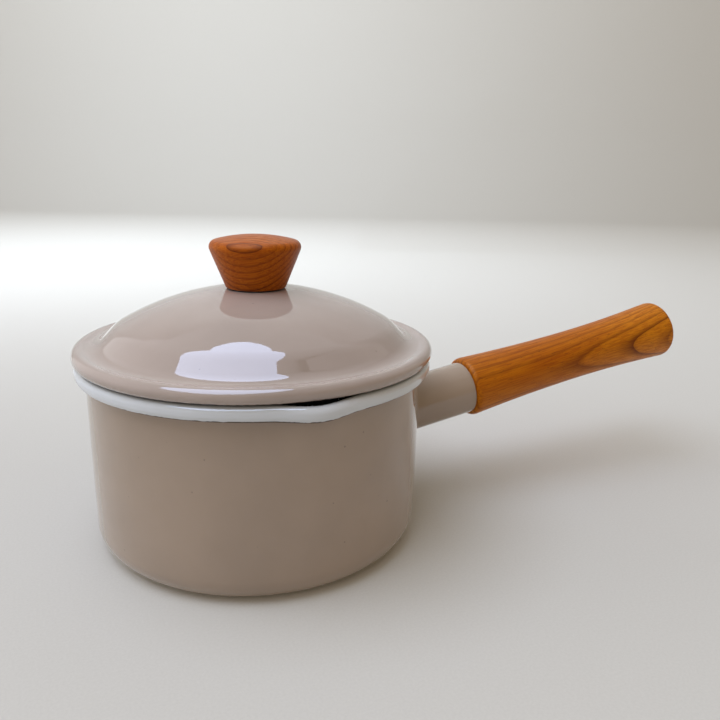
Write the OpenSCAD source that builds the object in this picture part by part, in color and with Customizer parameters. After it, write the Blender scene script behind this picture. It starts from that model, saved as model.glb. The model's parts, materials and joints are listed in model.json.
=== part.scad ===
// Enamelled steel saucepan with a pouring lip, a turned wood handle and a domed lid.
// The pan stands on z = 0 with its axis on Z. The handle points along +X and the lip along -Y.
// All sizes are in millimetres and all angles in degrees.

/* [Pan] */
// Outer radius of the wall under the rim
pan_r = 81; // [65:0.5:110]
// Height of the top of the rim above the table
pan_h = 91.7; // [70:0.1:130]
// Outward lean of the wall
wall_draft = 0.3; // [0:0.1:2]
// Outer radius of the bottom corner
corner_r = 12.9; // [6:0.1:20]
// Thickness of the pan's steel sheet
pan_sheet = 0.8; // [0.6:0.1:1.2]
// Thickness of one fired coat of enamel
coat = 0.2; // [0.1:0.05:0.3]

/* [Rim] */
// Width of the rolled rim, from the mouth to its outermost edge
rim_w = 5.9; // [5:0.1:8]
// Height of the rolled rim
rim_h = 6.9; // [6:0.1:10]
// Bare line where the rolled edge comes back to the wall
curl_gap = 0.3; // [0.2:0.05:0.6]

/* [Pouring lip] */
// How far the lip stands out from the wall at the rim
lip_out = 3.5; // [2:0.1:5]
// Outer radius of the lip's channel
lip_r = 22; // [16:0.5:30]
// Height over which the lip fades out down the wall
lip_drop = 32; // [24:1:45]
// How much lower the rim is at the lip
lip_dip = 0.9; // [0.2:0.1:1]

/* [Ferrule] */
// Height above the table where the handle's axis leaves the wall
handle_z = 51.9; // [40:0.1:60]
// Upward tilt of the handle
handle_tilt = 9.15; // [0:0.05:20]
// Outer diameter of the ferrule with its enamel
ferrule_d = 29.7; // [24:0.1:36]
// Length of the ferrule from the wall to the wood
ferrule_len = 42.2; // [36:0.1:60]
// Thickness of the ferrule's steel
ferrule_sheet = 1; // [0.8:0.1:1.5]
// Thickness of the bridge welded across the ferrule
bridge_t = 2; // [1.5:0.1:3]
// Distance from the wall to the bridge
bridge_at = 24; // [20:0.5:28]

/* [Handle] */
// Length of the wood outside the ferrule
wood_len = 148.3; // [110:0.1:190]
// How far the wood's face stands out past the ferrule all round
joint_step = 0.15; // [0:0.05:1]
// Rounding of the wood's front edge
front_round = 1.95; // [1:0.05:3]
// Diameter of the handle's waist
waist_d = 29.8; // [24:0.1:36]
// Distance from the ferrule to the waist
waist_at = 73.8; // [50:0.1:90]
// Diameter of the wood near its far end
end_d = 35.3; // [28:0.1:42]
// Rounding of the far end's edge
end_round = 3; // [1:0.1:6]
// Length of the tenon inside the ferrule
tenon_len = 15.5; // [8:0.1:17]
// Clearance around the tenon and along the bolt
wood_clear = 0.2; // [0.1:0.05:0.5]

/* [Handle bolt] */
// Thread diameter of the long bolt
bolt_d = 6; // [5:1:6]
// Diameter of the bolt's head
bolt_head_d = 10; // [8:0.1:11]
// Height of the bolt's head
bolt_head_h = 6; // [4:0.1:8]
// Diameter of the counterbore and of the plug in it
plug_d = 14; // [13.5:0.1:18]
// Depth of the counterbore in the far end
counterbore_h = 20.5; // [18:0.1:26]
// Length of the plug
plug_len = 9; // [5:0.1:9.5]

/* [Lid] */
// How far the lid's edge stands out past the pan's wall
lid_over = 5.4; // [4.5:0.1:7]
// Height of the lid's rolled edge
lid_edge_h = 6.8; // [6:0.1:8]
// Clearance between the lid's edge and the rim under it
lid_gap = 0.3; // [0.2:0.05:0.6]
// Depth of the shallow groove inside the rolled edge
groove_depth = 0.5; // [0.2:0.1:1]
// Radius of the fillet between the groove and the shoulder
fillet_r = 6; // [4:0.5:10]
// Steepest slope of the shoulder
shoulder_slope = 45; // [40:1:60]
// Length of the straight part of the shoulder
shoulder_len = 7; // [3:0.1:10]
// Radius of the shoulder's rounding
shoulder_r = 20; // [10:0.5:30]
// Slope where the dome meets the shoulder
dome_slope = 28.5; // [20:0.5:32]
// Radius of the flat seat under the knob
seat_r = 18.1; // [17:0.1:25]
// Clearance between the lid's locating ring and the mouth
ring_clear = 1.4; // [0.8:0.1:3]
// Depth of the locating ring below the top of the rim
ring_depth = 4.7; // [3:0.1:12]

/* [Knob] */
// Diameter of the knob's base
knob_base_d = 29.3; // [22:0.1:34]
// Diameter of the knob at its widest
knob_top_d = 43.9; // [34:0.1:60]
// Height of the knob
knob_h = 25.1; // [18:0.1:40]
// Rounding of the knob's upper edge
knob_edge_r = 3.4; // [1:0.1:5]
// Radius of the knob's crowned top
knob_crown_r = 76.4; // [50:0.1:200]
// Thickness of the dark seal under the knob
seal_t = 0.6; // [0.4:0.1:2]
// Thread diameter of the knob's screw
screw_d = 5; // [4:1:6]
// Length of the brass insert in the knob
insert_len = 12; // [8:0.5:14]

/* [Hidden] */
$fn = 96;

taupe = "rosybrown";
white_glass = "whitesmoke";
cherry = "peru";
sheet_grey = "dimgray";
zinc = "silver";

// Pan: the wall is one sheet with a coat on each side
wall = pan_sheet + 2 * coat;
// The mouth's straight side takes this much off the roll, so the two meet at a clean edge
mouth_flat = 0.06;
rim_half = (rim_w + mouth_flat) / 2;
rim_low = pan_h - rim_h;
curl_low = rim_low + rim_half;
curl_high = pan_h - rim_half;
above_rim = pan_h + 5;
corner_x = pan_r - corner_r * cos(wall_draft)
    - tan(wall_draft) * (rim_low - corner_r * (1 - sin(wall_draft)));
// The roll of the steel lies this far inside its coat, which holds it at the mouth
roll_space = 0.02;
// Height where the rolled edge comes back to the wall and the two enamels meet
line_reach = rim_half - mouth_flat - wall + coat - curl_gap;
line_z = curl_low - sqrt(rim_half * rim_half - line_reach * line_reach);

// Lip: a cone on its own axis, buried in the wall at its foot
lip_axis = pan_r + lip_out - lip_r;
lip_bury = 8;
lip_foot_z = rim_low - lip_drop - lip_bury;
lip_foot_r = lip_r - lip_out * (1 + lip_bury / lip_drop);

// Ferrule and handle, measured along the handle's axis from the wall
ferrule_r = ferrule_d / 2;
tube_r = ferrule_r - coat;
tube_bore_r = tube_r - ferrule_sheet;
into_wall = 6;
bridge_end = bridge_at + bridge_t;
bolt_r = bolt_d / 2;
bolt_hole_r = bolt_r + wood_clear;
nut_h = 0.8 * bolt_d;
nut_r = 5 / 6 * bolt_d / cos(30);
bolt_past_nut = 1.5;
wood_end = ferrule_len + wood_len;
joint_r = ferrule_r + joint_step;
wood_front_r = joint_r + front_round;
side_start = ferrule_len + front_round;
side_waist = ferrule_len + waist_at;
side_end = wood_end - end_round;
counterbore_at = wood_end - counterbore_h;
washer_t = 1.2;
washer_r = plug_d / 2 - 0.5;
lock_washer_t = 1.6;
lock_washer_r = bolt_head_d / 2 + 0.1;
lock_washer_slit = 1;
head_at = counterbore_at + washer_t + lock_washer_t;
hex_key_r = 0.42 * bolt_d / cos(30);
hex_key_depth = 0.5 * bolt_head_h;

// Lid: one sheet with a coat on each side, rolled under at its edge
edge_r = lid_edge_h / 2;
edge_x = pan_r + lid_over - edge_r;
edge_z = pan_h + lid_gap + edge_r;
tuck_angle = 40;
groove_x = edge_x - edge_r - 1.6;
groove_z = edge_z + edge_r - groove_depth;
shoulder_end_x = groove_x - fillet_r * sin(shoulder_slope) - shoulder_len * cos(shoulder_slope);
shoulder_end_z = groove_z + fillet_r * (1 - cos(shoulder_slope))
    + shoulder_len * sin(shoulder_slope);
shoulder_x = shoulder_end_x - shoulder_r * sin(shoulder_slope);
shoulder_z = shoulder_end_z - shoulder_r * cos(shoulder_slope);
dome_r = shoulder_x / sin(dome_slope) + shoulder_r;
dome_z = shoulder_z - (dome_r - shoulder_r) * cos(dome_slope);
seat_z = dome_z + sqrt(dome_r * dome_r - seat_r * seat_r);
ring_r = pan_r - wall - ring_clear;
ring_top = groove_z - coat - pan_sheet;
ring_bottom = pan_h - ring_depth;
ring_flange = 2.2;

// Knob and its fixing
knob_z = seat_z + seal_t;
knob_base_r = knob_base_d / 2;
knob_edge_x = knob_top_d / 2 - knob_edge_r;
crown_slope = asin(knob_edge_x / (knob_crown_r - knob_edge_r));
crown_z = knob_z + knob_h - knob_crown_r;
knob_edge_z = crown_z + (knob_crown_r - knob_edge_r) * cos(crown_slope);
lean_dx = knob_edge_x - knob_base_r;
lean_dz = knob_edge_z - knob_z;
knob_lean = atan(lean_dx / lean_dz) + asin(knob_edge_r / sqrt(lean_dx * lean_dx + lean_dz * lean_dz));
base_chamfer = 0.5;
screw_r = screw_d / 2;
screw_hole_r = screw_r + 0.3;
insert_r = screw_r + 1.5;
insert_space = 1.5;
seal_r = knob_base_r - 0.8;
under_seat = seat_z - wall;
knob_washer_t = 1;
knob_washer_r = 8;
knob_lock_t = 1.2;
knob_lock_r = 4.4;
screw_head_r = 0.95 * screw_d;
screw_head_h = 0.6 * screw_d;
screw_head_at = under_seat - knob_washer_t - knob_lock_t;

// Points along an arc in the drawing plane
function arc(cx, cz, r, a0, a1, steps = 8) =
    [for (i = [0:steps]) let (a = a0 + (a1 - a0) * i / steps) [cx + r * cos(a), cz + r * sin(a)]];

// Angle where the dome's arc leaves the flat seat, at an inset
function dome_start(inset) = asin((seat_z - inset - dome_z) / (dome_r - inset));

// Angle where the groove runs into the rolled edge, at an inset
function edge_start(inset) = 180 - asin((groove_z - inset - edge_z) / (edge_r - inset));

// Points along one half of the handle's hollow side, from radius r0 at s0 to r1 at s1
function side(s0, r0, s1, r1, from, to, steps = 8) =
    [for (i = [0:steps])
        let (s = from + (to - from) * i / steps, t = (s - s0) / (s1 - s0))
        [r0 + (r1 - r0) * t * t, s]];

// Turning helpers
module about_pan() rotate_extrude() children();
module about_lip() translate([0, -lip_axis, -lip_dip]) rotate_extrude() children();
module along_handle() translate([pan_r, 0, handle_z]) rotate([0, 90 - handle_tilt, 0]) children();
module rod(from, to, r) translate([0, 0, from]) cylinder(h = to - from, r = r);

// The pan's filled half section up to a height, moved in by an inset
module pan_section(inset, top)
    polygon(concat(
        [[0, inset]],
        arc(corner_x, corner_r, corner_r - inset, -90, -wall_draft),
        [[pan_r - inset, rim_low], [pan_r - inset, top], [0, top]]
    ));

// The lip's filled half section up to a height, moved in by an inset
module lip_section(inset, top)
    polygon([
        [0, lip_foot_z], [lip_foot_r - inset, lip_foot_z],
        [lip_r - inset, rim_low], [lip_r - inset, top], [0, top]
    ]);

// The rolled rim's filled section on a wall of radius r
module rim_section(r, inset) {
    x = r - wall - mouth_flat + rim_half;
    translate([x, curl_low]) circle(r = rim_half - inset);
    translate([x, curl_high]) circle(r = rim_half - inset);
    translate([x - rim_half + inset, curl_low])
        square([2 * (rim_half - inset), curl_high - curl_low]);
}

// Filled pan and lip, moved in by an inset
module pan_fill(inset, top) {
    about_pan() pan_section(inset, top);
    about_lip() lip_section(inset, top);
}

// Filled roll of the rim and of the lip
module rim_fill(inset) {
    about_pan() rim_section(pan_r, inset);
    about_lip() rim_section(lip_r, inset);
}

module pan_steel_shell() color(sheet_grey)
    difference() {
        union() {
            pan_fill(coat, curl_low);
            rim_fill(coat + roll_space);
        }
        pan_fill(coat + pan_sheet, above_rim);
    }

module pan_wall_enamel() color(taupe)
    difference() {
        pan_fill(0, line_z);
        pan_fill(coat, above_rim);
        rod(-1, coat, corner_x);
        along_handle() rod(-into_wall, ferrule_len, tube_r);
    }

module pan_base_enamel() color("darkslategray") rod(0, coat, corner_x);

module pan_inner_enamel() color(white_glass)
    difference() {
        pan_fill(coat + pan_sheet, curl_low);
        pan_fill(wall, above_rim);
    }

module rim_enamel() color(white_glass)
    difference() {
        rim_fill(0);
        rim_fill(coat);
        pan_fill(coat - curl_gap, curl_low);
        pan_fill(wall, above_rim);
    }

module ferrule_tube() color(sheet_grey)
    difference() {
        along_handle() rod(-into_wall, ferrule_len, tube_r);
        along_handle() rod(-into_wall - 1, ferrule_len + 1, tube_bore_r);
        about_pan() pan_section(coat, above_rim);
    }

module ferrule_bridge() color(sheet_grey)
    along_handle() difference() {
        rod(bridge_at, bridge_end, tube_bore_r);
        rod(bridge_at - 1, bridge_end + 1, bolt_hole_r);
    }

module ferrule_nut() color(zinc)
    along_handle() difference() {
        translate([0, 0, bridge_at - nut_h]) cylinder(h = nut_h, r = nut_r, $fn = 6);
        rod(bridge_at - nut_h - 1, bridge_at + 1, bolt_r);
    }

module ferrule_enamel() color(taupe)
    difference() {
        along_handle() rod(-into_wall, ferrule_len, ferrule_r);
        along_handle() rod(-into_wall - 1, ferrule_len + 1, tube_r);
        about_pan() pan_section(0, above_rim);
    }

module handle_wood() color(cherry)
    along_handle() rotate_extrude() polygon(concat(
        [[bolt_hole_r, ferrule_len - tenon_len], [tube_bore_r - wood_clear, ferrule_len - tenon_len]],
        [[tube_bore_r - wood_clear, ferrule_len]],
        arc(joint_r, side_start, front_round, -90, 0, 5),
        side(side_waist, waist_d / 2, side_start, wood_front_r, side_start + 2, side_waist),
        side(side_waist, waist_d / 2, side_end, end_d / 2, side_waist + 2, side_end - 1),
        arc(end_d / 2 - end_round, side_end, end_round, 0, 90, 6),
        [[plug_d / 2, wood_end], [plug_d / 2, counterbore_at], [bolt_hole_r, counterbore_at]]
    ));

module handle_bolt() color(zinc)
    along_handle() difference() {
        union() {
            rod(bridge_at - nut_h - bolt_past_nut, head_at + 1, bolt_r);
            rod(head_at, head_at + bolt_head_h, bolt_head_d / 2);
        }
        translate([0, 0, head_at + bolt_head_h - hex_key_depth])
            cylinder(h = hex_key_depth + 1, r = hex_key_r, $fn = 6);
    }

module handle_washer() color(zinc)
    along_handle() difference() {
        rod(counterbore_at, counterbore_at + washer_t, washer_r);
        rod(counterbore_at - 1, counterbore_at + washer_t + 1, bolt_hole_r);
    }

module handle_lock_washer() color(zinc)
    along_handle() difference() {
        rod(counterbore_at + washer_t, head_at, lock_washer_r);
        rod(counterbore_at, head_at + 1, bolt_hole_r);
        translate([0, -lock_washer_slit / 2, counterbore_at])
            cube([plug_d, lock_washer_slit, counterbore_h]);
    }

module handle_plug() color(cherry) along_handle() rod(wood_end - plug_len, wood_end, plug_d / 2);

// The lid's outline from the screw hole outwards, moved in by an inset: flat seat, dome,
// shoulder, groove and the edge rolled under
function lid_line(inset) = concat(
    [[screw_hole_r, seat_z - inset]],
    arc(0, dome_z, dome_r - inset, dome_start(inset), 90 - dome_slope, 12),
    arc(shoulder_x, shoulder_z, shoulder_r - inset, 90 - dome_slope - 2, 90 - shoulder_slope, 6),
    arc(groove_x, groove_z + fillet_r, fillet_r + inset, 270 - shoulder_slope, 270, 6),
    arc(edge_x, edge_z, edge_r - inset, edge_start(inset), 0, 8),
    arc(edge_x, edge_z, edge_r - inset, -15, -90, 5),
    arc(edge_x, edge_z, edge_r - inset, -105, -90 - tuck_angle, 3)
);

// One layer of the lid between two insets
module lid_layer(outer, inner) {
    under = lid_line(inner);
    last = len(under) - 1;
    rotate_extrude() polygon(concat(lid_line(outer), [for (i = [0:last]) under[last - i]]));
}

module lid_steel_shell() color(sheet_grey) lid_layer(coat, coat + pan_sheet);

module lid_outer_enamel() color(taupe) lid_layer(0, coat);

module lid_inner_enamel() color(white_glass)
    difference() {
        lid_layer(coat + pan_sheet, wall);
        // Bare strip where the ring is welded to the steel
        rod(ring_top - coat - 1, ring_top, ring_r + ring_flange);
    }

module lid_ring() color(sheet_grey)
    rotate_extrude() polygon([
        [ring_r - pan_sheet, ring_bottom], [ring_r, ring_bottom],
        [ring_r, ring_top - pan_sheet], [ring_r + ring_flange, ring_top - pan_sheet],
        [ring_r + ring_flange, ring_top], [ring_r - pan_sheet, ring_top]
    ]);

module knob_wood() color(cherry)
    difference() {
        rotate_extrude() polygon(concat(
            [[0, knob_z], [knob_base_r - base_chamfer, knob_z], [knob_base_r, knob_z + base_chamfer]],
            arc(knob_edge_x, knob_edge_z, knob_edge_r, -knob_lean, 90 - crown_slope, 8),
            arc(0, crown_z, knob_crown_r, 90 - crown_slope + 1, 90, 8)
        ));
        rod(knob_z - 1, knob_z + insert_len, insert_r);
        rod(knob_z, knob_z + insert_len + insert_space, screw_r);
    }

module knob_insert() color("goldenrod")
    difference() {
        rod(knob_z, knob_z + insert_len, insert_r);
        rod(knob_z - 1, knob_z + insert_len + 1, screw_r);
    }

module knob_screw() color(zinc)
    difference() {
        union() {
            rod(screw_head_at - 1, knob_z + insert_len - 1, screw_r);
            rod(screw_head_at - screw_head_h, screw_head_at, screw_head_r);
        }
        translate([0, 0, screw_head_at - screw_head_h - 1])
            cylinder(h = 1 + screw_head_h / 2, r = hex_key_r, $fn = 6);
    }

module knob_seal() color("darkslategray")
    difference() {
        rod(seat_z, knob_z, seal_r);
        rod(seat_z - 1, knob_z + 1, screw_hole_r);
    }

module knob_washer() color(zinc)
    difference() {
        rod(under_seat - knob_washer_t, under_seat, knob_washer_r);
        rod(under_seat - knob_washer_t - 1, under_seat + 1, screw_hole_r);
    }

module knob_lock_washer() color(zinc)
    difference() {
        rod(screw_head_at, under_seat - knob_washer_t, knob_lock_r);
        rod(screw_head_at - 1, under_seat, screw_hole_r);
        translate([0, -lock_washer_slit / 2, screw_head_at - 1])
            cube([knob_lock_r + 1, lock_washer_slit, knob_lock_t + 2]);
    }

pan_steel_shell();
pan_wall_enamel();
pan_base_enamel();
pan_inner_enamel();
rim_enamel();
ferrule_tube();
ferrule_bridge();
ferrule_nut();
ferrule_enamel();
handle_wood();
handle_bolt();
handle_washer();
handle_lock_washer();
handle_plug();
lid_steel_shell();
lid_outer_enamel();
lid_inner_enamel();
lid_ring();
knob_wood();
knob_insert();
knob_screw();
knob_seal();
knob_washer();
knob_lock_washer();
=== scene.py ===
import json
from math import acos, asin, cos, degrees, pi, radians, sin, sqrt, tan

import bmesh
import bpy
from mathutils import Matrix, Vector

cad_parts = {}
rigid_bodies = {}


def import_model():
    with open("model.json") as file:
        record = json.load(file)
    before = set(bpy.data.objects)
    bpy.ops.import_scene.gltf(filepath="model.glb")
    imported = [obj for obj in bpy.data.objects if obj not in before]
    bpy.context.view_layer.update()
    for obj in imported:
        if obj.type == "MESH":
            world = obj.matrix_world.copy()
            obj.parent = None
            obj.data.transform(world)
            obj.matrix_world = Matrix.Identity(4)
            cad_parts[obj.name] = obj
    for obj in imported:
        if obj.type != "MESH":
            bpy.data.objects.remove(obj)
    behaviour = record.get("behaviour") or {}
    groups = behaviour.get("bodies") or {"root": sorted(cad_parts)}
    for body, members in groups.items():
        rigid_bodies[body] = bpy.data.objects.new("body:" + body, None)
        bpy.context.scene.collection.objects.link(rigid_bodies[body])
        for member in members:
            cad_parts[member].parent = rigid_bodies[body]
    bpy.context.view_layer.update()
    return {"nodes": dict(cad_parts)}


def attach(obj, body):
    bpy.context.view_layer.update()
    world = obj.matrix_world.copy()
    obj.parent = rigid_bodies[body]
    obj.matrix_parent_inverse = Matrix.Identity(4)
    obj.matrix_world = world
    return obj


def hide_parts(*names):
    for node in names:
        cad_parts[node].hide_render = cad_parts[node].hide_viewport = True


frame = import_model()


# --- Camera -----------------------------------------------------------------------------------
# A plain camera in front of the pan, a little above it, looking past the lid. The handle runs
# off to the right and slightly away.
VIEW_TURN = Matrix.Rotation(radians(-25), 4, "Z")
camera = bpy.data.objects.new("camera", bpy.data.cameras.new("camera"))
bpy.context.scene.collection.objects.link(camera)
bpy.context.scene.camera = camera
camera.data.sensor_width = 36
camera.data.lens = 35.39
camera.matrix_world = (
    Matrix.Translation((-0.0976, -0.3306, 0.1826))
    @ VIEW_TURN
    @ Matrix.Rotation(radians(90 - 15.49), 4, "X")
    @ Matrix.Rotation(radians(1.18), 4, "Z")
)


# --- Floor and light --------------------------------------------------------------------------
# A sheet of pale paper that rises behind the pan in one sweep. A cool window overhead, a weaker
# one on the left, two lamps on the paper, and a warm room all round.
FLOOR_SIZE = 4.4
FLOOR_RISE = 3.2
FLOOR_BEND = 1.9


def node(material, kind, sockets=(), **settings):
    """Adds a shader node. A socket in the list is set to its value, or wired to another node."""
    made = material.node_tree.nodes.new("ShaderNode" + kind)
    for name, value in settings.items():
        setattr(made, name, value)
    for name, value in dict(sockets).items():
        if isinstance(value, bpy.types.NodeSocket):
            material.node_tree.links.new(value, made.inputs[name])
        else:
            made.inputs[name].default_value = value
    return made


def fresh(name, **sockets):
    """A new material, its Principled shader, and the place on the object that its nodes read."""
    material = bpy.data.materials.new(name)
    material.use_nodes = True
    shader = material.node_tree.nodes["Principled BSDF"]
    for socket, value in sockets.items():
        shader.inputs[socket.replace("_", " ")].default_value = value
    return material, shader, node(material, "TexCoord").outputs["Object"]


def ramp(material, value, *stops):
    """A colour ramp over a value, with its stops given as (position, colour)."""
    made = node(material, "ValToRGB", {"Fac": value})
    elements = made.color_ramp.elements
    while len(elements) < len(stops):
        elements.new(1)
    for element, (position, colour) in zip(elements, stops):
        element.position = position
        element.color = (*colour, 1) if isinstance(colour, tuple) else (colour,) * 3 + (1,)
    return made.outputs["Color"]


def spread(material, value, start, stop, low=0.0, high=1.0):
    """Maps a value from one range to another with soft ends."""
    made = node(material, "MapRange", {
        "Value": value, "From Min": start, "From Max": stop, "To Min": low, "To Max": high,
    }, interpolation_type="SMOOTHSTEP")
    return made.outputs["Result"]


def mixed(material, share, under, over, how="MIX"):
    """Mixes one colour over another by a share."""
    made = node(material, "MixRGB", {"Fac": share, "Color1": under, "Color2": over}, blend_type=how)
    return made.outputs["Color"]


def wire(material, output, shader, socket):
    material.node_tree.links.new(output, shader.inputs[socket])


paper, paper_skin, place = fresh("paper", Roughness=0.75, Specular_IOR_Level=0.25)
tooth = node(paper, "TexNoise", {"Vector": place, "Scale": 900.0, "Detail": 3.0}).outputs["Fac"]
wire(paper, ramp(paper, tooth, (0.3, (0.615, 0.605, 0.58)), (0.7, (0.645, 0.635, 0.61))),
     paper_skin, "Base Color")
grit = node(paper, "Bump", {"Strength": 0.1, "Distance": 0.00005, "Height": tooth})
wire(paper, grit.outputs["Normal"], paper_skin, "Normal")

bpy.ops.object.select_all(action="DESELECT")
bpy.ops.mesh.primitive_plane_add(size=FLOOR_SIZE)
floor = bpy.context.object
floor.name = "floor"
bpy.ops.object.mode_set(mode="EDIT")
back_line = FLOOR_SIZE / 2 - 0.1
sheet = bmesh.from_edit_mesh(floor.data)
for edge in sheet.edges:
    edge.select_set(all(v.co.y > back_line for v in edge.verts))
sheet.select_flush_mode()
bmesh.update_edit_mesh(floor.data)
bpy.ops.mesh.extrude_region_move(TRANSFORM_OT_translate={"value": (0, 0, FLOOR_RISE)})
sheet = bmesh.from_edit_mesh(floor.data)
for edge in sheet.edges:
    edge.select_set(all(v.co.y > back_line and v.co.z < 0.1 for v in edge.verts))
bmesh.update_edit_mesh(floor.data)
bpy.ops.mesh.bevel(offset=FLOOR_BEND, segments=40)
bpy.ops.object.mode_set(mode="OBJECT")
bpy.ops.object.shade_smooth()
floor.matrix_world = VIEW_TURN
bpy.ops.object.transform_apply(location=True, rotation=True, scale=True)
floor.data.materials.append(paper)


def lamp(name, spot, aim, size, power, colour, spin=0, soft=True, mirrored=False):
    """An oval lamp that hangs at a spot and is aimed at another.

    A soft lamp lights the surfaces, and a mirrored one shows in their gloss.
    """
    bpy.ops.object.light_add(type="AREA")
    made = bpy.context.object
    made.name = name
    made.data.shape = "ELLIPSE"
    made.data.size, made.data.size_y = size
    made.data.energy = power
    made.data.color = colour
    made.visible_diffuse = soft
    made.visible_glossy = mirrored
    facing = (Vector(spot) - Vector(aim)).to_track_quat("Z", "Y").to_matrix().to_4x4()
    turned = Matrix.Rotation(radians(spin), 4, "Z")
    made.matrix_world = VIEW_TURN @ Matrix.Translation(spot) @ facing @ turned


# The window overhead is two lamps, one for its shape in the gloss and one for its light
lamp("window_sheen", (-0.38, -0.44, 1.42), (-0.38, -0.44, 0), (1.26, 1.96), 36.0,
     (0.56, 0.69, 1.0), spin=-18, soft=False, mirrored=True)
lamp("window_above", (-0.50, -0.28, 1.42), (-0.50, -0.28, 0), (1.3, 1.5), 25.0,
     (0.64, 0.73, 0.88), spin=-12)
lamp("window_left", (-1.50, 0.05, 0.75), (0, 0, 0.05), (1.1, 0.9), 4.0, (1.0, 0.99, 0.97))
lamp("paper_lamp", (-0.5, 0.6, 1.1), (-0.2, 2.1, 0.45), (0.8, 0.8), 19.0, (0.82, 0.91, 1.0))
lamp("high_paper_lamp", (-0.5, 0.7, 2.3), (-0.5, 2.3, 3.5), (1.6, 0.6), 34.0, (0.90, 0.95, 1.0))

# The room is paler behind and to the left, dimmer and warmer in front and to the right
room = bpy.data.worlds.new("room")
room.use_nodes = True
bearing = node(room, "TexCoord").outputs["Generated"]
pale_side = VIEW_TURN @ Vector((-0.75, 0.55, 0.35))
toward = node(room, "VectorMath", {0: bearing, 1: pale_side}, operation="DOT_PRODUCT")
share = spread(room, toward.outputs["Value"], -0.8, 0.8)
room_tint = ramp(room, share, (0.0, (0.37, 0.28, 0.17)), (1.0, (0.80, 0.77, 0.73)))
wire(room, room_tint, room.node_tree.nodes["Background"], "Color")
bpy.context.scene.world = room
bpy.context.scene.view_settings.view_transform = "Standard"


# --- Pan --------------------------------------------------------------------------------------
# One deep-drawn steel sheet with a small pouring lip. It is fired with a white enamel inside, a
# glossy taupe one outside and a dark ground coat underneath.
MM = 0.001
TAUPE = (0.345, 0.262, 0.200, 1)
# Painted light: the lid's copy of the pan's taupe enamel, lighter and less brown to stand in for
# the light on its top
LID_TAUPE_PAINTED_LIGHTER = (0.385, 0.312, 0.280, 1)
PAN_R = 81.0
RIM_LOW = 84.8
BASE_R = 67.72
CORNER_R = 12.9
LEAN = radians(0.3)
COAT = 0.2
WALL = 1.2
TURN_STEPS = 240
# Points of a section nearer than this become one
SAME_PLACE = 0.004
# The lip's pulls: how far each moves the middle of the rim, and how wide it reaches
LIP_DIP = 0.9
LIP_REACH = 20.0
LIP_PULLS = (((0, -1.45, 0), 34.0), ((0, -2.0, -LIP_DIP), LIP_REACH))


def enamel(name, colour, roughness=0.02, clouds=0.04, peel=0.000008):
    """Fired glass: a faint cloudiness, a few specked pinholes, and a very softly waved gloss."""
    material, shader, place = fresh(name, Coat_Weight=0.6, Coat_Roughness=0.01)
    cloud = node(material, "TexNoise", {"Vector": place, "Scale": 26.0, "Detail": 5.0})
    deep = tuple(c * (1 - 2 * clouds) for c in colour[:3])
    pale = tuple(min(1, c * (1 + clouds)) for c in colour[:3])
    skin = ramp(material, cloud.outputs["Fac"], (0.32, deep), (0.68, pale))
    pits = node(material, "TexVoronoi", {"Vector": place, "Scale": 210.0, "Randomness": 1.0})
    rare = node(material, "TexNoise", {"Vector": place, "Scale": 95.0, "Detail": 1.0})
    dots = spread(material, pits.outputs["Distance"], 0.05, 0.12, 1.0, 0.0)
    seldom = spread(material, rare.outputs["Fac"], 0.60, 0.68)
    speck = node(material, "Math", {0: dots, 1: seldom}, operation="MULTIPLY").outputs[0]
    faint = node(material, "Math", {0: speck, 1: 0.45}, operation="MULTIPLY").outputs[0]
    speck_tint = (*(c * 0.35 for c in colour[:3]), 1)
    wire(material, mixed(material, faint, skin, speck_tint), shader, "Base Color")
    haze = node(material, "TexNoise", {"Vector": place, "Scale": 60.0, "Detail": 6.0})
    dulled = spread(material, haze.outputs["Fac"], 0.35, 0.75, roughness, roughness + 0.03)
    wire(material, dulled, shader, "Roughness")
    wave = node(material, "TexNoise", {"Vector": place, "Scale": 85.0, "Detail": 1.5})
    relief = node(material, "Bump", {
        "Strength": 1.0, "Distance": peel, "Height": wave.outputs["Fac"],
    })
    pit = node(material, "Bump", {
        "Strength": 0.6, "Distance": 0.00006, "Height": speck, "Normal": relief.outputs["Normal"],
    }, invert=True)
    wire(material, pit.outputs["Normal"], shader, "Normal")
    return material


def metal(name, colour, roughness):
    """Bare metal, dulled in patches and finely scratched."""
    material, shader, place = fresh(name, Metallic=1.0)
    patches = node(material, "TexNoise", {"Vector": place, "Scale": 120.0, "Detail": 6.0})
    patch = patches.outputs["Fac"]
    dull = tuple(c * 0.72 for c in colour)
    wire(material, ramp(material, patch, (0.3, dull), (0.65, colour)), shader, "Base Color")
    worn = spread(material, patch, 0.3, 0.7, roughness, roughness + 0.2)
    wire(material, worn, shader, "Roughness")
    line = node(material, "Mapping", {"Vector": place, "Scale": (1.0, 1.0, 14.0)}).outputs[0]
    scratch = node(material, "TexNoise", {"Vector": line, "Scale": 1400.0, "Detail": 2.0})
    relief = node(material, "Bump", {
        "Strength": 0.25, "Distance": 0.00002, "Height": scratch.outputs["Fac"],
    })
    wire(material, relief.outputs["Normal"], shader, "Normal")
    return material


def begin(name):
    """An empty piece, open in edit mode."""
    bpy.ops.object.select_all(action="DESELECT")
    bpy.ops.mesh.primitive_plane_add(size=0.01)
    bpy.context.object.name = name
    bpy.ops.object.mode_set(mode="EDIT")
    bpy.ops.mesh.delete(type="VERT")
    return bpy.context.object


def arc(centre, radius, start, stop, steps):
    """Points of a section along an arc, with its angles in degrees from the outward direction."""
    angles = [radians(start + (stop - start) * i / steps) for i in range(steps + 1)]
    return [(centre[0] + radius * cos(a), centre[1] + radius * sin(a)) for a in angles]


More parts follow.
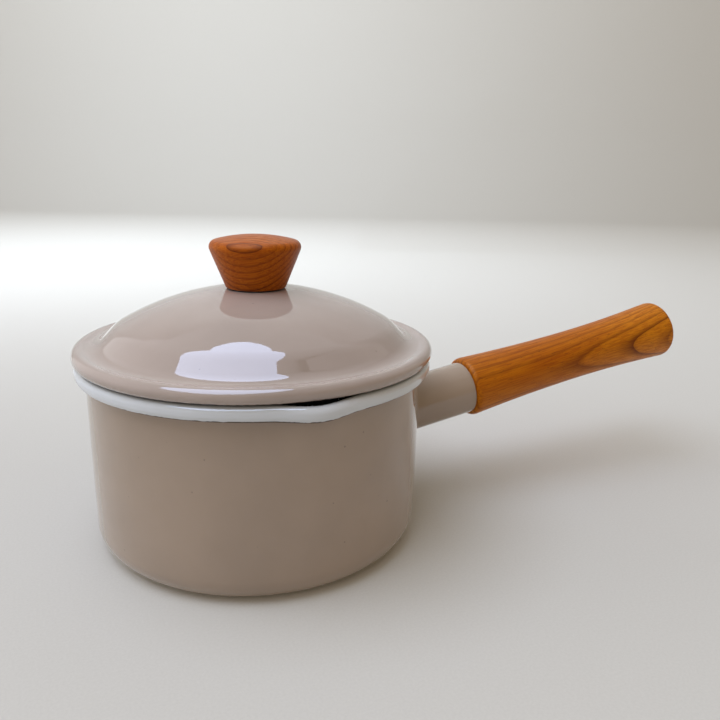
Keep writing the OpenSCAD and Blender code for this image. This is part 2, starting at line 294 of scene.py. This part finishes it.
def lathe(points, closed, along_x=False, steps=TURN_STEPS):
    """Draws a section by extruding one vertex along it, then spins it about the piece's axis.

    A point is (distance from the axis, place along it) in millimetres.
    """
    flat = [Vector((a, 0, r) if along_x else (r, 0, a)) * MM for r, a in points]
    bpy.ops.mesh.select_all(action="DESELECT")
    bpy.ops.mesh.primitive_plane_add(size=0.001, location=flat[0])
    bpy.ops.mesh.merge(type="CENTER")
    for here, there in zip(flat, flat[1:] + flat[:1] if closed else flat[1:]):
        bpy.ops.mesh.extrude_vertices_move(TRANSFORM_OT_translate={"value": there - here})
    bpy.ops.mesh.select_linked()
    bpy.ops.mesh.remove_doubles(threshold=SAME_PLACE * MM)
    bpy.ops.mesh.spin(
        steps=steps, angle=2 * pi, center=(0, 0, 0), axis=(1, 0, 0) if along_x else (0, 0, 1)
    )
    bpy.ops.mesh.select_linked()
    bpy.ops.mesh.remove_doubles(threshold=SAME_PLACE * MM)
    bpy.ops.mesh.normals_make_consistent(inside=False)


def pick(test):
    """Selects the vertices of the open piece whose place passes a test."""
    mesh = bmesh.from_edit_mesh(bpy.context.object.data)
    for vertex in mesh.verts:
        vertex.select_set(test(vertex.co))
    mesh.select_flush_mode()
    bmesh.update_edit_mesh(bpy.context.object.data)


def close(piece, angle=40):
    """Leaves edit mode with the piece's smooth faces shaded smooth."""
    bpy.ops.object.mode_set(mode="OBJECT")
    bpy.ops.object.select_all(action="DESELECT")
    piece.select_set(True)
    bpy.context.view_layer.objects.active = piece
    bpy.ops.object.shade_smooth_by_angle(angle=radians(angle))


def finish_in(name, material):
    """Gives a CAD node its real finish."""
    frame["nodes"][name].data.materials.clear()
    frame["nodes"][name].data.materials.append(material)


def wall_line(inset, top):
    """The wall's line from the edge of the flat base up to a height."""
    rows = list(range(18, 84, 3)) + [RIM_LOW]
    slope = [(PAN_R - inset - (RIM_LOW - z) * tan(LEAN), z) for z in rows]
    return arc((BASE_R, CORNER_R), CORNER_R - inset, -90, -degrees(LEAN), 16) + slope + [
        (PAN_R - inset, top)
    ]


# Rolled rim: the centres and radius of its lower and upper arcs, and where it comes back to
# the wall
ROLL_X = 82.72
ROLL_R = 2.98
ROLL_LOW = 87.78
ROLL_HIGH = 88.72
ROLL_FOOT = 81.1


def roll_line(inset, foot_x, mouth_x):
    """The rim's line from under the roll, round its outside, to the mouth."""
    radius = ROLL_R - inset
    foot = degrees(acos((foot_x - ROLL_X) / radius))
    mouth = degrees(acos((mouth_x - ROLL_X) / radius))
    return arc((ROLL_X, ROLL_LOW), radius, -foot, 0, 14) + arc(
        (ROLL_X, ROLL_HIGH), radius, 0, mouth, 18
    )


def ground(name):
    """The thin dark first coat: near black, matt in patches, flecked with white."""
    material, shader, place = fresh(name, Coat_Weight=0.2, Coat_Roughness=0.1)
    clouds = node(material, "TexNoise", {"Vector": place, "Scale": 70.0, "Detail": 6.0})
    cloud = clouds.outputs["Fac"]
    skin = ramp(material, cloud, (0.35, (0.012, 0.013, 0.018)), (0.7, (0.035, 0.036, 0.042)))
    fleck = node(material, "TexVoronoi", {"Vector": place, "Scale": 420.0}).outputs["Distance"]
    dots = spread(material, fleck, 0.10, 0.22, 0.75, 0.0)
    wire(material, mixed(material, dots, skin, (0.42, 0.44, 0.47, 1)), shader, "Base Color")
    wire(material, spread(material, cloud, 0.3, 0.7, 0.16, 0.36), shader, "Roughness")
    relief = node(material, "Bump", {"Strength": 0.5, "Distance": 0.00005, "Height": cloud})
    wire(material, relief.outputs["Normal"], shader, "Normal")
    return material


def dark_edge_and_gap_shade(material, low, high, dip=0.0):
    """Dark broken dashes on a lower edge: bare ground coat, and painted shade in the gap below it.

    The dashes end between two heights, which are lower by the dip at the pouring lip.
    """
    shader = material.node_tree.nodes["Principled BSDF"]
    glaze = shader.inputs["Base Color"].links[0].from_socket
    place = node(material, "TexCoord").outputs["Object"]
    level = node(material, "SeparateXYZ", {0: place}).outputs["Z"]
    level_place = node(material, "VectorMath", {0: place, 1: (1.0, 1.0, 0.0)},
                       operation="MULTIPLY").outputs[0]
    from_lip = node(material, "VectorMath", {0: level_place, 1: (0.0, -(PAN_R + 5) * MM, 0.0)},
                    operation="DISTANCE").outputs["Value"]
    sunk = spread(material, from_lip, 0.0, LIP_REACH * MM, dip * MM, 0.0)
    height = node(material, "Math", {0: level, 1: sunk}, operation="ADD").outputs[0]
    dash = node(material, "TexNoise", {"Vector": place, "Scale": 260.0, "Detail": 4.0})
    reach = spread(material, dash.outputs["Fac"], 0.38, 0.60, low * MM, high * MM)
    under = node(material, "Math", {0: reach, 1: height}, operation="SUBTRACT").outputs[0]
    bare_and_shade = spread(material, under, 0.0, 0.0002)
    wire(material, mixed(material, bare_and_shade, glaze, (0.045, 0.022, 0.014, 1)), shader, "Base Color")


taupe = enamel("taupe_enamel", TAUPE)
white = enamel("white_enamel", (0.76, 0.765, 0.76, 1), clouds=0.02)
# Painted shade: the rim is the inside's white enamel, painted darker and bluer to stand in for its
# shading
rim_white_painted_shade = enamel("rim_enamel", (0.60, 0.63, 0.68, 1), clouds=0.02)
# On the rim the dashes are bare ground coat at the roll's foot, with painted shade in the crevice
# against the wall
dark_edge_and_gap_shade(rim_white_painted_shade, 85.7, 86.1, dip=LIP_DIP)
# The lid's taupe is the pan's enamel painted lighter, as painted light on its top
lid_taupe_painted_lighter = enamel("lid_taupe_painted_light", LID_TAUPE_PAINTED_LIGHTER)
# On the lid the line is mostly a painted shadow: the dark gap where the bead sits over the rim
dark_edge_and_gap_shade(lid_taupe_painted_lighter, 92.8, 93.1)
ground_coat = ground("ground_enamel")
steel = metal("sheet_steel", (0.42, 0.42, 0.43), 0.35)
zinc = metal("zinc_steel", (0.62, 0.63, 0.65), 0.28)

roll_start = ROLL_LOW - sqrt((ROLL_R - COAT) ** 2 - (ROLL_X - PAN_R + COAT) ** 2)
mouth_in = PAN_R - WALL
mouth_steel = mouth_in + COAT
line_z = ROLL_LOW - sqrt(ROLL_R**2 - (ROLL_X - ROLL_FOOT) ** 2)
# Each layer: its name, finish, CAD node, material slot, whether its section closes, the section
PAN_LAYERS = (
    ("pan_sheet", steel, "pan_steel_shell", "sheet_steel", False,
        [(0, COAT)] + wall_line(COAT, roll_start)[:-1]
        + roll_line(COAT, PAN_R - COAT, mouth_steel)
        + wall_line(WALL - COAT, ROLL_LOW)[::-1] + [(0, WALL - COAT)]),
    ("pan_outside", taupe, "pan_wall_enamel", "taupe_enamel", True,
        wall_line(0, line_z) + wall_line(COAT, line_z)[::-1]),
    ("pan_inside", white, "pan_inner_enamel", "white_enamel", False,
        [(0, WALL - COAT)] + wall_line(WALL - COAT, ROLL_LOW)
        + wall_line(WALL, ROLL_LOW)[::-1] + [(0, WALL)]),
    ("pan_rim", rim_white_painted_shade, "rim_enamel", "white_enamel", True,
        roll_line(0, ROLL_FOOT, mouth_in) + [(mouth_in, ROLL_LOW), (mouth_steel, ROLL_LOW)]
        + roll_line(COAT, ROLL_FOOT, mouth_steel)[::-1]),
)
layers = []
for name, material, _, _, closed, section in PAN_LAYERS:
    layers.append(begin(name))
    lathe(section, closed)
    bpy.ops.object.mode_set(mode="OBJECT")
    layers[-1].data.materials.append(material)


def at_lip(co):
    """The rim's points on the centre line of the lip."""
    return abs(co.x) < 0.5 * MM and co.y < -(PAN_R - 2) * MM and co.z > (RIM_LOW - 0.3) * MM


# The lip is pressed out of all the layers at once, in a wide pull and a narrow one
for layer in layers:
    layer.select_set(True)
bpy.ops.object.join()
bpy.ops.object.mode_set(mode="EDIT")
for pull, reach in LIP_PULLS:
    pick(at_lip)
    bpy.ops.transform.translate(
        value=Vector(pull) * MM, use_proportional_edit=True,
        proportional_edit_falloff="SMOOTH", proportional_size=reach * MM,
    )
bpy.ops.mesh.select_all(action="SELECT")
bpy.ops.mesh.separate(type="MATERIAL")
bpy.ops.object.mode_set(mode="OBJECT")
layers = list(bpy.context.selected_objects)
for name, material, cad, slot, _, _ in PAN_LAYERS:
    layer = next(o for o in layers if o.data.materials[0] == material)
    layer.name = name
    close(layer)
    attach(layer, "pan")
    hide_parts(cad)
pan_outside = bpy.data.objects["pan_outside"]
finish_in("pan_base_enamel", ground_coat)


# --- Ferrule ----------------------------------------------------------------------------------
# A steel tube welded to the wall and enamelled with the pan. A bridge across its bore carries the
# nut that the handle's long bolt pulls against.
HANDLE_FOOT = Vector((PAN_R, 0, 51.9)) * MM
HANDLE_TILT = radians(9.15)
FERRULE_R = 14.85
FERRULE_LEN = 42.2
# Rings of the weld: place along the tube, radius, and how fully the ring follows the wall
WELD = (
    (3.2, 16.3, 1.0),
    (3.5, 15.7, 0.9),
    (3.6, 15.25, 0.76),
    (4.0, 14.98, 0.5),
    (5.6, 14.86, 0.25),
)
# The coat's inner edge, which follows the wall fully
WELD_INSIDE = (3.3, FERRULE_R - COAT, 1.0)
FERRULE_EDGE = 0.25


def set_on_handle(piece):
    """Puts a piece drawn along X onto the handle's axis, with its place in its mesh."""
    piece.location = HANDLE_FOOT
    piece.rotation_euler = (0, -HANDLE_TILT, 0)
    bpy.ops.object.transform_apply(location=True, rotation=True, scale=True)


ferrule = begin("ferrule_coat")
lathe(
    [(r, s) for s, r, _ in WELD]
    + [(FERRULE_R, s) for s in (8, 14, 20, 26, 32, 38, 41.6)]
    + arc((FERRULE_R - FERRULE_EDGE, FERRULE_LEN - 0.3), FERRULE_EDGE, 0, 90, 4)
    + [(FERRULE_R - COAT, FERRULE_LEN), (WELD_INSIDE[1], WELD_INSIDE[0])],
    closed=True, along_x=True, steps=128,
)
ferrule.vertex_groups.new(name="weld")
for start, _, hold in (*WELD, WELD_INSIDE):
    pick(lambda co: abs(co.x - start * MM) < 0.01 * MM)
    bpy.context.tool_settings.vertex_group_weight = hold
    bpy.ops.object.vertex_group_assign()
bpy.ops.object.mode_set(mode="OBJECT")
ferrule.location = HANDLE_FOOT
ferrule.rotation_euler = (0, -HANDLE_TILT, 0)
bpy.context.view_layer.update()
seat = ferrule.modifiers.new("seat", "SHRINKWRAP")
seat.target = pan_outside
seat.wrap_method = "PROJECT"
seat.vertex_group = "weld"
seat.use_project_x = True
seat.use_positive_direction = False
seat.use_negative_direction = True
bpy.ops.object.modifier_apply(modifier="seat")
set_on_handle(ferrule)
close(ferrule)
ferrule.data.materials.append(taupe)
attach(ferrule, "pan")
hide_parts("ferrule_enamel")
finish_in("ferrule_tube", steel)
finish_in("ferrule_bridge", steel)
finish_in("ferrule_nut", zinc)


# --- Wood handle ------------------------------------------------------------------------------
# Turned cherry, oiled to a satin finish, with a tenon in the ferrule. A long bolt runs through it,
# and a plug of the same wood closes the counterbore over the bolt's head.
# Sizes are radii, and places along the handle's axis from the wall
JOINT_R = 15.0
NOSE_OUT = 1.95
NOSE_LONG = 3.2
FRONT = FERRULE_LEN + NOSE_LONG
WAIST = 116.0
WAIST_R = 14.9
FAR_SWELL = 187.5
END_ROUND = 3.0
END_ROUND_AT = 187.48
WOOD_END = END_ROUND_AT + END_ROUND
TENON_FROM = 26.7
TENON_R = 13.45
BOLT_HOLE_R = 3.2
PLUG_HOLE_R = 7.0
COUNTERBORE = 170.0
PALE = (0.62, 0.215, 0.008)
MID = (0.43, 0.110, 0.002)
DARK = (0.15, 0.026, 0.001)
PORE = (0.06, 0.014, 0.004, 1)


def cherry(name, turn, pith, spacing=0.0030, sheen=0.34, tone=(1.0, 1.0, 1.0)):
    """Cherry with its fibres turned onto X: growth rings round a pith, fibres and fine pores.

    The tone multiplies the colour of the wood, but not of its pores.
    """
    material, shader, place = fresh(
        name, Specular_IOR_Level=0.28, Specular_Tint=(1.0, 0.72, 0.35, 1)
    )
    grain = node(material, "Mapping", {"Vector": place, "Rotation": turn}).outputs[0]
    slow = node(material, "Mapping", {"Vector": grain, "Scale": (0.22, 1.0, 1.0)}).outputs[0]
    wander = node(material, "TexNoise", {"Vector": slow, "Scale": 34.0, "Detail": 2.0})
    off = node(material, "VectorMath", {0: wander.outputs["Color"], 1: (0.5, 0.5, 0.5)},
               operation="SUBTRACT").outputs[0]
    sway = node(material, "VectorMath", {0: off, "Scale": 0.003}, operation="SCALE").outputs[0]
    bent = node(material, "VectorMath", {0: grain, 1: sway}, operation="ADD").outputs[0]
    across = node(material, "VectorMath", {0: bent, 1: (0.012, 1.0, 1.0)},
                  operation="MULTIPLY").outputs[0]
    from_pith = node(material, "VectorMath", {0: across, 1: (0.0, *pith)},
                     operation="SUBTRACT").outputs[0]
    radius = node(material, "VectorMath", {0: from_pith}, operation="LENGTH").outputs["Value"]
    rings = node(material, "Math", {0: radius, 1: 1 / spacing}, operation="MULTIPLY").outputs[0]
    season = node(material, "Math", {0: rings}, operation="FRACT").outputs[0]
    year = node(material, "Math", {0: rings}, operation="FLOOR").outputs[0]
    chance = node(material, "TexWhiteNoise", {"W": year}, noise_dimensions="1D")
    late = ramp(
        material, season, (0.0, 0.55), (0.10, 0.0), (0.62, 0.10), (0.90, 0.75), (0.985, 1.0)
    )
    weight = spread(material, chance.outputs["Value"], 0.0, 1.0, 0.45, 1.0)
    line = node(material, "Math", {0: late, 1: weight}, operation="MULTIPLY").outputs[0]
    broad = node(material, "TexNoise", {"Vector": slow, "Scale": 30.0, "Detail": 3.0})
    body = ramp(material, broad.outputs["Fac"], (0.30, MID), (0.66, PALE))
    ringed = mixed(material, line, body, (*DARK, 1))
    thread = node(material, "Mapping", {"Vector": bent, "Scale": (0.045, 1.0, 1.0)}).outputs[0]
    fibres = node(material, "TexNoise", {"Vector": thread, "Scale": 1500.0, "Detail": 4.0})
    fibre = fibres.outputs["Fac"]
    streak = spread(material, fibre, 0.36, 0.66, 0.0, 0.42)
    fibred = mixed(material, streak, ringed, (*MID, 1), "MULTIPLY")
    tube = node(material, "Mapping", {"Vector": bent, "Scale": (0.10, 1.0, 1.0)}).outputs[0]
    pores = node(material, "TexNoise", {"Vector": tube, "Scale": 2600.0, "Detail": 1.0})
    pit = spread(material, pores.outputs["Fac"], 0.665, 0.72, 0.0, 0.6)
    toned = mixed(material, 1.0, fibred, (*tone, 1), "MULTIPLY")
    wire(material, mixed(material, pit, toned, PORE), shader, "Base Color")
    satin = spread(material, fibre, 0.3, 0.7, sheen, sheen + 0.16)
    wire(material, satin, shader, "Roughness")
    height = node(material, "Math", {0: fibre, 1: pit}, operation="SUBTRACT").outputs[0]
    relief = node(material, "Bump", {"Strength": 0.35, "Distance": 0.00004, "Height": height})
    wire(material, relief.outputs["Normal"], shader, "Normal")
    return material


handle_wood = cherry("cherry_handle", (0, HANDLE_TILT, radians(-2.6)), (0.0511, 0.041))


def flank(swell, end, places):
    """The hollow side: the waist's radius, plus a swell that is full at one end of the wood."""
    return [(WAIST_R + swell * ((s - WAIST) / (end - WAIST)) ** 2, s) for s in places]


nose = [
    (JOINT_R + NOSE_OUT * sin(radians(a)), FERRULE_LEN + NOSE_LONG * (1 - cos(radians(a))))
    for a in range(0, 91, 10)
]
handle = begin("handle_wood")
lathe(
    [(BOLT_HOLE_R, TENON_FROM), (TENON_R - 0.5, TENON_FROM), (TENON_R, TENON_FROM + 0.5),
     (TENON_R, FERRULE_LEN - 0.02), (JOINT_R - 0.4, FERRULE_LEN)]
    + nose
    + flank(2.05, FRONT, range(48, 116, 4))
    + flank(2.75, FAR_SWELL, range(116, 187, 4))
    + arc((14.63, END_ROUND_AT), END_ROUND, 4, 90, 12)
    + [(PLUG_HOLE_R + 0.25, WOOD_END), (PLUG_HOLE_R + 0.02, WOOD_END - 0.2),
       (PLUG_HOLE_R, COUNTERBORE), (BOLT_HOLE_R, COUNTERBORE)],
    closed=True, along_x=True, steps=128,
)
bpy.ops.object.mode_set(mode="OBJECT")
set_on_handle(handle)
close(handle)
handle.data.materials.append(handle_wood)
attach(handle, "pan")
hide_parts("handle_wood")

plug = begin("handle_plug")
lathe(
    [(0, 181.5), (6.8, 181.5), (6.97, 181.8), (6.97, 190.2), (6.8, 190.42),
     (6.5, WOOD_END), (0, WOOD_END)],
    closed=False, along_x=True, steps=96,
)
bpy.ops.object.mode_set(mode="OBJECT")
set_on_handle(plug)
close(plug)
plug.data.materials.append(cherry("cherry_plug", (1.2, HANDLE_TILT, 0), (0.016, 0.030)))
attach(plug, "pan")
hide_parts("handle_plug")
for name in ("handle_bolt", "handle_washer", "handle_lock_washer"):
    finish_in(name, zinc)


# --- Lid --------------------------------------------------------------------------------------
# One domed steel sheet, rolled under at its edge, taupe outside and white inside. A ring welded
# under it keeps it in the pan's mouth.
# Each arc of its section has a centre, as its distance from the axis and its height, and a radius
SEAT_Z = 123.53
DOME = (0, -9.82)
DOME_R = 134.56
SHOULDER = (54.67, 90.87)
SHOULDER_R = 20
FILLET = (79.66, 108.3)
FILLET_R = 10
GROOVE_Z = FILLET[1] - FILLET_R
GROOVE_RISE = 0.5
BEAD = (83.0, 95.4)
BEAD_R = 3.4
SCREW_HOLE_R = 2.8
LID_SHEET = 0.8
# The bare strip for the ring's weld, between two radii
STRIP_IN = 75.5
STRIP_OUT = 80.6


def lid_line(inset):
    """The lid's line from the screw hole, over the dome and the shoulder, round the rolled edge."""
    dome_start = degrees(asin((SEAT_Z - inset - DOME[1]) / (DOME_R - inset)))
    groove_w = BEAD[0] - FILLET[0]
    groove = [
        (FILLET[0] + groove_w * t, GROOVE_Z - inset + GROOVE_RISE * t * t * (3 - 2 * t))
        for t in (i / 8 for i in range(1, 8))
    ]
    return (
        [(SCREW_HOLE_R, SEAT_Z - inset), (10, SEAT_Z - inset)]
        + arc(DOME, DOME_R - inset, dome_start, 61.5, 28)
        + arc(SHOULDER, SHOULDER_R - inset, 60, 45, 6)
        + arc(FILLET, FILLET_R + inset, 225, 270, 14)
        + groove
        + arc(BEAD, BEAD_R - inset, 90, -130, 34)
    )


def lid_layer(outer, inner, first=0, last=None):
    """A closed section between two insets, from one point of the lid's line to another."""
    return lid_line(outer)[first:last] + lid_line(inner)[first:last][::-1]


under = COAT + LID_SHEET
strip_from = next(i for i, (r, z) in enumerate(lid_line(under)) if r > STRIP_IN)
strip_to = next(i for i, (r, z) in enumerate(lid_line(under)) if r > STRIP_OUT)
inside_sections = [lid_layer(under, WALL, 0, strip_from), lid_layer(under, WALL, strip_to)]
for name, material, sections, cad, slot in (
    ("lid_outside", lid_taupe_painted_lighter, [lid_layer(0, COAT)], "lid_outer_enamel", "taupe_enamel"),
    ("lid_sheet", steel, [lid_layer(COAT, under)], "lid_steel_shell", "sheet_steel"),
    ("lid_inside", white, inside_sections, "lid_inner_enamel", "white_enamel"),
):
    layer = begin(name)
    for section in sections:
        lathe(section, closed=True)
    close(layer)
    layer.data.materials.append(material)
    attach(layer, "lid")
    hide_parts(cad)
finish_in("lid_ring", ground_coat)


# --- Knob -------------------------------------------------------------------------------------
# A turned cherry knob on a dark seal. A screw from under the lid holds it, in a brass insert.
KNOB_Z = 124.13
KNOB_EDGE = (18.55, 143.43)
KNOB_EDGE_R = 3.4
KNOB_CROWN = (0, 72.82)
KNOB_CROWN_R = 76.4
INSERT_R = 4.0
INSERT_TOP = KNOB_Z + 12
SCREW_R = 2.5
SCREW_TOP = KNOB_Z + 13.5


def rubber(name):
    """Black silicone: matt, with a faint bloom."""
    material, shader, place = fresh(name, Specular_IOR_Level=0.35)
    blooms = node(material, "TexNoise", {"Vector": place, "Scale": 260.0, "Detail": 5.0})
    bloom = blooms.outputs["Fac"]
    wire(material, ramp(material, bloom, (0.35, 0.006), (0.75, 0.016)), shader, "Base Color")
    wire(material, spread(material, bloom, 0.3, 0.7, 0.5, 0.75), shader, "Roughness")
    relief = node(material, "Bump", {"Strength": 0.3, "Distance": 0.00003, "Height": bloom})
    wire(material, relief.outputs["Normal"], shader, "Normal")
    return material


knob = begin("knob_wood")
lathe(
    [(0, SCREW_TOP), (SCREW_R, SCREW_TOP), (SCREW_R, INSERT_TOP), (INSERT_R, INSERT_TOP),
     (INSERT_R, KNOB_Z)]
    + [(14.0, KNOB_Z), (14.35, KNOB_Z + 0.1), (14.6, KNOB_Z + 0.4)]
    + arc(KNOB_EDGE, KNOB_EDGE_R, -21.4, 75.3, 14)
    + arc(KNOB_CROWN, KNOB_CROWN_R, 77, 90, 10),
    closed=False, steps=160,
)
close(knob)
knob.data.materials.append(
    cherry("cherry_knob", (0, radians(9), radians(25)), (-0.055, 0.185), tone=(0.82, 0.62, 0.6))
)
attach(knob, "lid")
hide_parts("knob_wood")
finish_in("knob_seal", rubber("black_rubber"))
finish_in("knob_insert", metal("brass", (0.78, 0.56, 0.24), 0.25))
for name in ("knob_screw", "knob_washer", "knob_lock_washer"):
    finish_in(name, zinc)


# --- Last update ------------------------------------------------------------------------------
# Brings the scene up to date once every piece is made.
bpy.context.view_layer.update()
